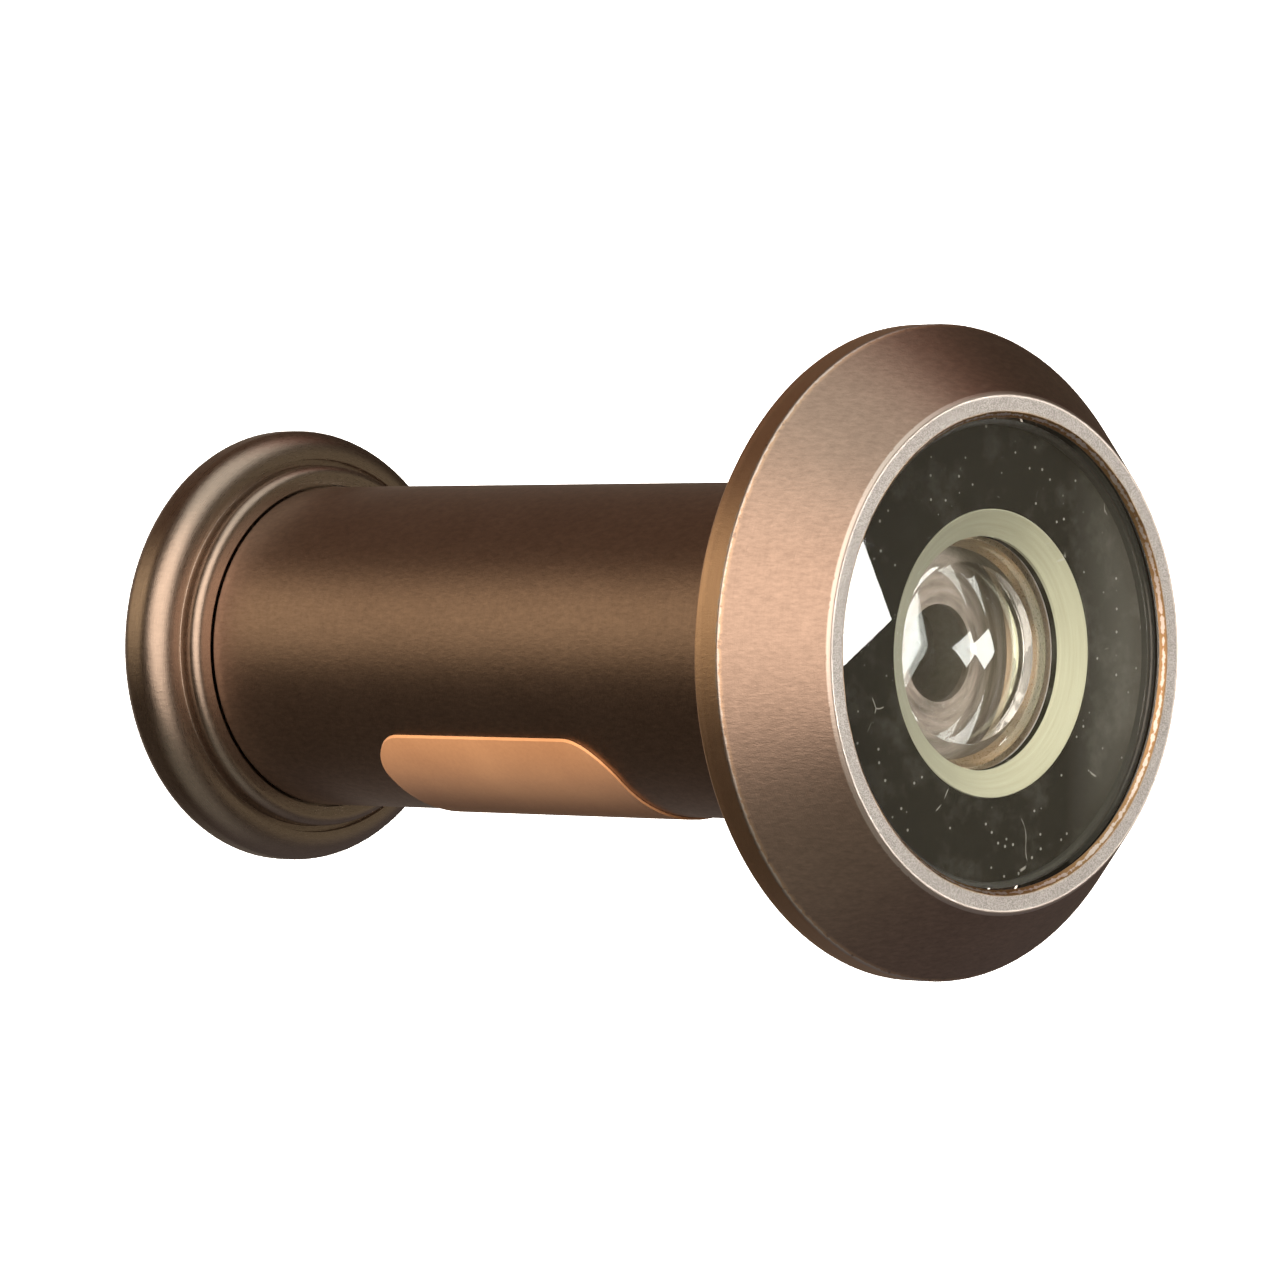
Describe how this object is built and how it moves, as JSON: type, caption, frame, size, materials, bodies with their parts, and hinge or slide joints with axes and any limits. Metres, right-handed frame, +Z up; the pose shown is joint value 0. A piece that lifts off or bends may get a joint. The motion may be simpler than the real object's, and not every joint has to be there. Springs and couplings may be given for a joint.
{
  "type": "door viewer",
  "caption": "Wide-angle door viewer: bevelled front flange with a glass face, smooth barrel, and a room side sleeve that screws in to clamp the door.",
  "frame": {"origin": "on the barrel axis, in the plane of the front flange's door face", "axes": "+Y along the barrel axis from the outside of the door to the room, +Z up, +X to the right when seen from outside"},
  "size_m": [0.0266, 0.0435, 0.0266],
  "materials": {
    "bronze_plate": "satin antique bronze plating on brass",
    "cover_glass": "polished",
    "lens_glass": "polished",
    "black_rubber": "matt",
    "black_moulding": "dull black",
    "ivory_moulding": "matt ivory",
    "plain_brass": "turned, unplated",
    "dull_brass": "blasted, dull brown",
    "blackened_metal": "matt black",
    "label_paper": "matt coated paper, bare"
  },
  "bodies": {
    "barrel": {"outer_barrel": "bronze_plate", "front_glass": "cover_glass", "glass_gasket": "black_rubber", "lens_holder": "black_moulding", "lens_collar": "ivory_moulding", "objective_lens": "lens_glass", "lens_spacer": "plain_brass", "second_lens": "lens_glass", "field_stop": "dull_brass", "third_lens": "lens_glass", "lens_clamp_ring": "blackened_metal", "barrel_label": "label_paper"},
    "eyepiece": {"eyepiece_lens": "lens_glass"},
    "sleeve": {"rear_sleeve": "bronze_plate", "eyepiece_ring": "blackened_metal"}
  },
  "joints": [
    {"name": "sleeve_advance", "type": "slide", "parent": "barrel", "child": "eyepiece", "axis": [0, 1, 0], "range_m": [0, 0.02375]},
    {"name": "sleeve_turn", "type": "hinge", "parent": "eyepiece", "child": "sleeve", "pos_m": [0, 0.03, 0], "axis": [0, 1, 0], "range_deg": [0, 8550]}
  ],
  "couplings": [
    {"joint": "sleeve_advance", "follows": "sleeve_turn", "m_per_rad": 0.00015915}
  ]
}
